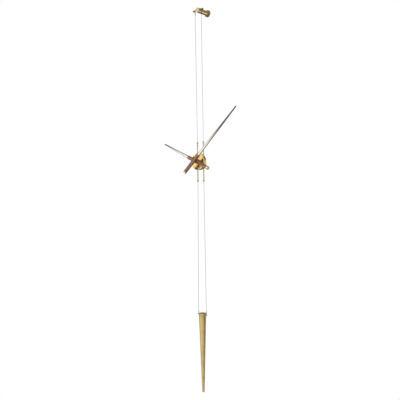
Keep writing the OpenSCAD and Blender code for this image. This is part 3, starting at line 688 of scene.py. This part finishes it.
def ferrulePiece(name, centre, down, out):
    # an oval sleeve over both parts of the rope
    look, steps, rows = ferruleLook, 32, 37
    half = ropeLook["diameter"] + look["sideWall"]
    thin = ropeLook["diameter"] / 2 + look["frontWall"]
    across = down.cross(out)
    start = centre + out * ropeLook["diameter"] / 2
    points, faces = [], []
    for row in range(rows):
        t = row / (rows - 1)
        wave = math.cos(2 * math.pi * (look["waists"] * t - 0.5))
        inward = 1 - min(1, min(t, 1 - t) / look["endRound"])
        swell = (1 - look["pressed"] * max(0, wave) ** 2) * (
            1 - look["endShrink"] * (1 - math.sqrt(1 - inward ** 2)))
        for k in range(steps):
            x, y = math.cos(2 * math.pi * k / steps), math.sin(2 * math.pi * k / steps)
            squareX = math.copysign(abs(x) ** look["square"], x)
            squareY = math.copysign(abs(y) ** look["square"], y)
            points.append(start + down * look["length"] * t
                          + out * half * swell * squareX + across * thin * swell * squareY)
        if row:
            base = (row - 1) * steps
            for k in range(steps):
                n = (k + 1) % steps
                faces.append((base + k, base + n, base + steps + n, base + steps + k))
    faces.append(tuple(range(steps - 1, -1, -1)))
    faces.append(tuple(range(len(points) - steps, len(points))))
    piece = meshObject(name, points, faces)
    keepFlats(piece)
    return piece


def squareTo(line):
    # the direction towards the wall, square to a cord
    towardsWall = Vector((0, 1, 0))
    return (towardsWall - line * towardsWall.dot(line)).normalized()


def makeCords():
    ferrules = {"upper": [], "lower": []}
    rope, ferruleLength, free = ropeLook["diameter"], ferruleLook["length"], 4 * mm
    barRadius = sizeOf("crossbar").z / 2 - ropeLook["barGroove"] + ropeLook["loopClear"] + rope / 2
    pinRadius = sizeOf("weight_pin").z / 2 - ropeLook["pinGroove"] + ropeLook["loopClear"] + rope / 2
    start, end = barRadius + ropeLook["ferruleStart"], pinRadius + ropeLook["ferruleStart"]
    for side, word in ((-1, "left"), (1, "right")):
        top = Vector((side * ropeLook["topSpacing"] / 2, barMiddle.y, barMiddle.z))
        tubeTop = Vector((side * ropeLook["caseSpacing"] / 2, tubeMiddleY, collarTop))
        tubeLow = Vector((side * ropeLook["caseSpacing"] / 2, tubeMiddleY, collarBottom))
        low = Vector((side * ropeLook["weightSpacing"] / 2, pinMiddle.y, pinMiddle.z))
        down, up = (tubeTop - top).normalized(), (tubeLow - low).normalized()
        out, upOut = squareTo(down), squareTo(up)
        head = loopPoints(top, down, out, barRadius, start)
        foot = loopPoints(low, up, upOut, pinRadius, end)
        # straight from loop to tube, through the tube, and straight to the other loop
        middle = [top + down * (start + ferruleLength + free), top + down * 200 * mm,
                  tubeTop - down * 20 * mm, tubeTop + (tubeLow - tubeTop) * 0.1,
                  tubeTop + (tubeLow - tubeTop) * 0.9, tubeLow - up * 20 * mm,
                  low + up * 200 * mm, low + up * (end + ferruleLength + free)]
        path = smoothPath(head + middle + foot[::-1], ropeLook["ringGap"])
        cord = ropePiece("rope_" + word, path)
        paint(cord, "ropeSteel")
        standIn(cord, "cords", "steel_cord", "cord_" + word)
        ferrules["upper"].append(ferrulePiece("upper_ferrule_" + word, top + down * start, down, out))
        ferrules["lower"].append(ferrulePiece("lower_ferrule_" + word, low + up * end, up, upOut))
    for level, pieces in ferrules.items():
        for piece in pieces:
            paint(piece, "pressedAluminium")
            standIn(piece, "cords", "crimp_metal", level + "_ferrules")


makeCords()
print("cords and ferrules laid")

bracketLook = {
    "rosetteEdge": 1.8 * mm, "armFlare": 2.5 * mm, "flareLength": 7 * mm, "flareLip": 1 * mm,
    "flareCurve": 9 * mm, "jointGap": 0.3 * mm, "jointEdge": 0.7 * mm, "headEdge": 1.1 * mm,
    "spindleRadius": 6 * mm, "spindleFit": 0.05 * mm, "barEdge": 1.2 * mm, "grooveWidth": 2.6 * mm,
}


def groovedRod(name, node, loopApart, depth, width, edge, lips, arcSteps, sides):
    # a plain rod across the clock, with a groove for each cord's loop
    size = sizeOf(node)
    radius, groove, half = size.z / 2, size.z / 2 - depth, width / 2
    outline = [(0, -size.x / 2, 0), (radius, -size.x / 2, edge)]
    for middle in (-loopApart / 2, loopApart / 2):
        outline += [(radius, middle - half, lips[0]), (groove, middle - half, lips[1]),
                    (groove, middle + half, lips[1]), (radius, middle + half, lips[0])]
    outline += [(radius, size.x / 2, edge), (0, size.x / 2, 0)]
    place = Matrix.Translation(middleOf(node)) @ sideways
    return turnedPiece(name, roundedOutline(outline, arcSteps), place, sides)


def makeBracket():
    look = bracketLook
    rosette, head = sizeOf("wall_rosette"), sizeOf("bracket_head")
    socket = look["spindleRadius"] + look["spindleFit"]
    plate = turnedPiece("rosette", roundedOutline([
        (0, 0, 0), (rosette.x / 2, 0, 0.3 * mm), (rosette.x / 2, rosette.y, look["rosetteEdge"]),
        (0, rosette.y, 0)], 8), forward, 128)
    boreThrough(plate, forward, socket, 50 * mm)
    # the rosette's darker brown tone is painted shade
    paint(plate, "darkPaintedShadeBrass")
    standIn(plate, "bracket", "satin_brass", "wall_rosette")

    armRadius = head.x / 2
    armFront = -boxOf("bracket_head")[1].y - look["jointGap"]
    spindle = -boxOf("bracket_arm")[0].y
    lip = rosette.y + look["flareLip"]
    post = turnedPiece("arm", roundedOutline([
        (0, 0, 0), (look["spindleRadius"], 0, 0), (look["spindleRadius"], rosette.y, 0),
        (armRadius + look["armFlare"], rosette.y, 0), (armRadius + look["armFlare"], lip, 0.4 * mm),
        (armRadius, lip + look["flareLength"], look["flareCurve"]),
        (armRadius, armFront, look["jointEdge"]), (look["spindleRadius"], armFront, 0),
        (look["spindleRadius"], spindle, 0.5 * mm), (0, spindle, 0)], 8), forward, 96)
    stud = next(mount for mount in frame["record"]["mounts"] if mount["name"] == "wall_stud")["dims"]
    boreThrough(post, forward, stud["r_mm"] * mm, 2 * stud["length_mm"] * mm)
    # the arm's tone is painted light and shade
    paint(post, "armPaintedLightBrass")
    standIn(post, "bracket", "satin_brass", "bracket_arm")

    headBack, headFront = armFront + look["jointGap"], -boxOf("bracket_head")[0].y
    block = turnedPiece("head", roundedOutline([
        (0, headBack, 0), (armRadius, headBack, look["jointEdge"]),
        (armRadius, headFront, look["headEdge"]), (0, headFront, 0)], 8), forward, 96)
    boreThrough(block, Matrix.Translation(barMiddle) @ sideways,
                sizeOf("crossbar").z / 2 + 0.02 * mm, 60 * mm)
    boreThrough(block, forward @ Matrix.Translation((0, 0, (armFront + spindle) / 2)), socket,
                spindle - armFront + 2 * look["jointGap"])
    # the head's olive tone is painted shade
    paint(block, "olivePaintedShadeBrass")
    standIn(block, "head", "satin_brass", "bracket_head")

    rod = groovedRod("crossbar_rod", "crossbar", ropeLook["topSpacing"], ropeLook["barGroove"],
                     look["grooveWidth"], look["barEdge"], (0.25 * mm, 0.2 * mm), 5, 64)
    # the crossbar's darker brown tone is painted shade
    paint(rod, "darkPaintedShadeBrass")
    standIn(rod, "head", "satin_brass", "crossbar")


makeBracket()
print("wall bracket turned")

tubeLook = {"bore": 1.9 * mm, "lip": 1.0 * mm, "edge": 0.3 * mm, "boreEdge": 0.2 * mm,
            "collarFit": 0.02 * mm, "collarOverlap": 4 * mm, "collarEdge": 0.9 * mm,
            "screwRadius": 1.27 * mm}


def makeTubes():
    look = tubeLook
    apart = ropeLook["caseSpacing"]
    radius = (sizeOf("guide_tubes").x - apart) / 2
    collarRadius, collarLength = (sizeOf("upper_collars").x - apart) / 2, sizeOf("upper_collars").z
    half = (collarTop - collarBottom) / 2
    end = half - look["lip"]
    inside = radius + look["collarFit"]
    base = half - collarLength
    for side, word in ((-1, "left"), (1, "right")):
        middle = Matrix.Translation((side * apart / 2, tubeMiddleY, (collarTop + collarBottom) / 2))
        tube = turnedPiece("tube_" + word, roundedOutline([
            (look["bore"], 0, 0), (look["bore"], -end, look["boreEdge"]), (radius, -end, look["edge"]),
            (radius, end, look["edge"]), (look["bore"], end, look["boreEdge"]),
            (look["bore"], 0, 0)], 4), middle, 48)
        paint(tube, "drawnBrass")
        standIn(tube, "case", "tube_brass", "guide_tubes")
        for flip, level in ((1, "upper"), (-1, "lower")):
            place = middle @ Matrix.Rotation(0 if flip > 0 else math.pi, 4, "X")
            collar = turnedPiece(level + "_collar_" + word, roundedOutline([
                (inside, end - look["collarOverlap"], 0), (inside, base, look["boreEdge"]),
                (collarRadius, base, look["collarEdge"]), (collarRadius, half, look["collarEdge"]),
                (look["bore"], half, look["edge"]), (look["bore"], end, 0), (inside, end, 0),
                (inside, end - look["collarOverlap"], 0)], 5), place, 64)
            # the screw's hole comes in from the wall side
            hole = Matrix.Translation((0, 4 * mm, flip * (half - collarLength / 2))) @ forward
            boreThrough(collar, middle @ hole, look["screwRadius"], 6 * mm, 24)
            paint(collar, "drawnBrass")
            standIn(collar, "case", "polished_brass", level + "_collars")


makeTubes()
print("guide tubes and collars turned")

caseLook = {"frontEdge": 1.0 * mm, "backEdge": 3.0 * mm, "wall": 2.0 * mm, "front": 1.5 * mm,
            "neck": 4.1 * mm, "coverFit": 0.05 * mm}


def makeCase():
    # the drum opens to the back, with a lip for the rear cover and a hole for the movement's neck
    low, high = boxOf("case_shell")
    centre, depth, cover = middleOf("case_shell"), high.y - low.y, sizeOf("rear_cover").y
    radius = (high.x - low.x) / 2
    inner = radius - caseLook["wall"]
    lip = boxOf("rear_cover")[1].x + caseLook["coverFit"]
    neck, floor = caseLook["neck"], depth - caseLook["front"]
    outline = [(neck, depth, 0), (radius, depth, caseLook["frontEdge"]),
               (radius, 0, caseLook["backEdge"]), (lip, 0, 0.2 * mm), (lip, cover, 0),
               (inner, cover, 0), (inner, floor, 1 * mm), (neck, floor, 0), (neck, depth, 0)]
    place = Matrix.Translation((0, high.y, centre.z)) @ forward
    shell = turnedPiece("case_drum", roundedOutline(outline, 8), place, 160)
    paint(shell, "polishedBrass")
    standIn(shell, "case", "polished_brass", "case_shell")


coverLook = {"edge": 0.3 * mm, "knobHole": 7.5 * mm, "coverScrew": 1.27 * mm, "clampScrew": 1.52 * mm,
             "clampScrewAside": 10 * mm, "screwRing": 37.2 * mm, "boreLength": 8 * mm}


def makeCover():
    # a flat turned disc with its screw holes and the opening for the setting knob
    look = coverLook
    low, high = boxOf("rear_cover")
    centre, radius, thick = middleOf("rear_cover"), (high.x - low.x) / 2, high.y - low.y
    place = Matrix.Translation((0, high.y, centre.z)) @ forward
    cover = turnedPiece("back_cover", roundedOutline([
        (0, 0, 0), (radius, 0, look["edge"]), (radius, thick, look["edge"]), (0, thick, 0)], 4),
        place, 128)
    knob = middleOf("setting_knob")
    clampRise = middleOf("upper_tube_clamp").z - centre.z
    holes = [(knob.x, knob.z, look["knobHole"])]
    for side in (-1, 1):
        holes.append((side * look["screwRing"], centre.z, look["coverScrew"]))
        holes.append((0, centre.z + side * look["screwRing"], look["coverScrew"]))
        for level in (-1, 1):
            holes.append((side * look["clampScrewAside"], centre.z + level * clampRise, look["clampScrew"]))
    for x, z, size in holes:
        boreThrough(cover, Matrix.Translation((x, centre.y, z)) @ forward, size, look["boreLength"], 32)
    # the cover's olive tone is painted shade
    paint(cover, "olivePaintedShadeBrass")
    standIn(cover, "case", "satin_brass", "rear_cover")


clampLook = {"edge": 0.8 * mm, "tubeHole": 3.02 * mm}


def makeClamps():
    # two bars with softly rounded edges: tubes pass up through them, screws come in from the case
    for node in ("upper_tube_clamp", "lower_tube_clamp"):
        middle, size = middleOf(node), sizeOf(node) / 2
        corners = [(x * size.x, y * size.y, z * size.z) for x in (-1, 1) for y in (-1, 1) for z in (-1, 1)]
        sides = [(0, 1, 3, 2), (4, 6, 7, 5), (0, 4, 5, 1), (2, 3, 7, 6), (0, 2, 6, 4), (1, 5, 7, 3)]
        bar = meshObject(node + "_bar", corners, sides, Matrix.Translation(middle))
        edge = bar.modifiers.new("edge", "BEVEL")
        edge.width = clampLook["edge"]
        edge.segments = 4
        for side in (-1, 1):
            tube = (side * ropeLook["caseSpacing"] / 2, tubeMiddleY, middle.z)
            screw = (side * coverLook["clampScrewAside"], middle.y - size.y, middle.z)
            boreThrough(bar, Matrix.Translation(tube), clampLook["tubeHole"], 30 * mm, 48)
            boreThrough(bar, Matrix.Translation(screw) @ forward, coverLook["clampScrew"], 12 * mm, 32)
        paint(bar, "polishedBrass")
        standIn(bar, "case", "polished_brass", node)


makeCase()
makeCover()
makeClamps()
print("case, cover and clamps made")

handLook = {"stockEdge": 0.5 * mm, "hubWall": 2.5 * mm, "boreFit": 0.02 * mm, "borePast": 2 * mm,
            "tang": 3 * mm, "tangShare": 0.7, "shoulder": 1.2 * mm, "nose": 6 * mm, "noseCurve": 8 * mm,
            "tipRadius": 3.1 * mm, "pointRadius": 0.35 * mm,
            "capEdge": 1.4 * mm, "capFit": 0.02 * mm, "spigotLength": 2.9 * mm, "spigotRadius": 6.4 * mm}


def handPlace(needleNode, joint):
    # the hub's place with +Z along the hand, and how far the tip is from it, read from the part itself
    hub = Vector(next(j for j in frame["joints"] if j["name"] == joint)["pos_m"])
    hub.y = middleOf(needleNode).y
    tip = max((v.co for v in nodes[needleNode].data.vertices), key=lambda p: (p - hub).length)
    turn = math.atan2(tip.x - hub.x, tip.z - hub.z)
    return Matrix.Translation(hub) @ Matrix.Rotation(turn, 4, "Y"), (tip - hub).length


def spanOf(node, place):
    # how far a node reaches along the hand from the hub, and its radius
    back = place.inverted()
    inside = [back @ v.co for v in nodes[node].data.vertices]
    reach = [p.z for p in inside]
    return min(reach), max(reach), max(p.xy.length for p in inside)


def makeHand(body, joint, stockNode, needleNode, capNode, bushNode, blind):
    look = handLook
    place, reach = handPlace(needleNode, joint)
    low, high, radius = spanOf(stockNode, place)
    stock = turnedPiece(body + "_stock", roundedOutline([
        (0, low, 0), (radius, low, look["stockEdge"]), (radius, high, look["stockEdge"]),
        (0, high, 0)], 4), place, 72)
    # a blind hub hole is bored from the back and leaves a wall of wood in front
    back = radius + look["borePast"]
    front = radius - look["hubWall"] if blind else back
    boreThrough(stock, place @ Matrix.Translation((0, (back - front) / 2, 0)) @ forward,
                sizeOf(bushNode).x / 2 + look["boreFit"], back + front)
    paint(stock, "oiledWalnut")
    standIn(stock, body, "walnut", stockNode)

    needleRadius = spanOf(needleNode, place)[2]
    tangRadius = needleRadius * look["tangShare"]
    outline = [(0, high - look["tang"], 0), (tangRadius, high - look["tang"], 0), (tangRadius, high, 0),
               (needleRadius, high + 0.05 * mm, look["shoulder"]),
               (look["tipRadius"], reach - look["nose"], look["noseCurve"]),
               (look["pointRadius"], reach, 0.3 * mm), (0, reach, 0)]
    needle = turnedPiece(body + "_needle", roundedOutline(outline, 6), place, 48)
    paint(needle, "polishedNickel")
    standIn(needle, body, "needle_metal", needleNode)

    start, seat, spigot = spanOf(capNode, place)[0], low - look["capFit"], look["spigotRadius"]
    cap = turnedPiece(body + "_cap", roundedOutline([
        (0, start, 0), (radius, start, look["capEdge"]), (radius, seat, 0.3 * mm), (spigot, seat, 0),
        (spigot, low + look["spigotLength"], 0), (0, low + look["spigotLength"], 0)], 6), place, 72)
    paint(cap, "paleBrass")
    standIn(cap, body, "cap_metal", capNode)


makeHand("hour_hand", "hour_spin", "hour_stock", "hour_needle", "hour_tail_cap", "hour_bush", False)
makeHand("minute_hand", "minute_spin", "minute_stock_rod", "minute_needle", "minute_tail_cap",
         "minute_bush", True)
print("hands made")

weightLook = {"topEdge": 0.9 * mm, "tipEdge": 1.6 * mm, "tipRadius": 5.8 * mm, "pinEdge": 0.6 * mm,
              "pinFit": 0.02 * mm, "grooveWidth": 2.6 * mm}


def makeWeight():
    look = weightLook
    low, high = boxOf("weight_cone")
    radius, length = (high.x - low.x) / 2, high.z - low.z
    cone = turnedPiece("weight_body", roundedOutline([
        (0, -length, 0), (look["tipRadius"], -length, look["tipEdge"]),
        (radius, 0, look["topEdge"]), (0, 0, 0)], 8),
        Matrix.Translation((0, middleOf("weight_cone").y, high.z)), 128)
    boreThrough(cone, Matrix.Translation(pinMiddle) @ sideways,
                sizeOf("weight_pin").z / 2 + look["pinFit"], 60 * mm)
    paint(cone, "turnedBrass")
    standIn(cone, "weight", "satin_brass", "weight_cone")

    rod = groovedRod("cross_pin", "weight_pin", ropeLook["weightSpacing"], ropeLook["pinGroove"],
                     look["grooveWidth"], look["pinEdge"], (0.15 * mm, 0.1 * mm), 4, 48)
    paint(rod, "brightSteel")
    standIn(rod, "weight", "bright_steel", "weight_pin")


makeWeight()
print("weight turned")

# the part's own nodes keep their shape and get a finish
for entry in frame["record"]["subparts"]:
    paint(nodes[entry["node"]], slotFinish[entry["material_slot"]], False)
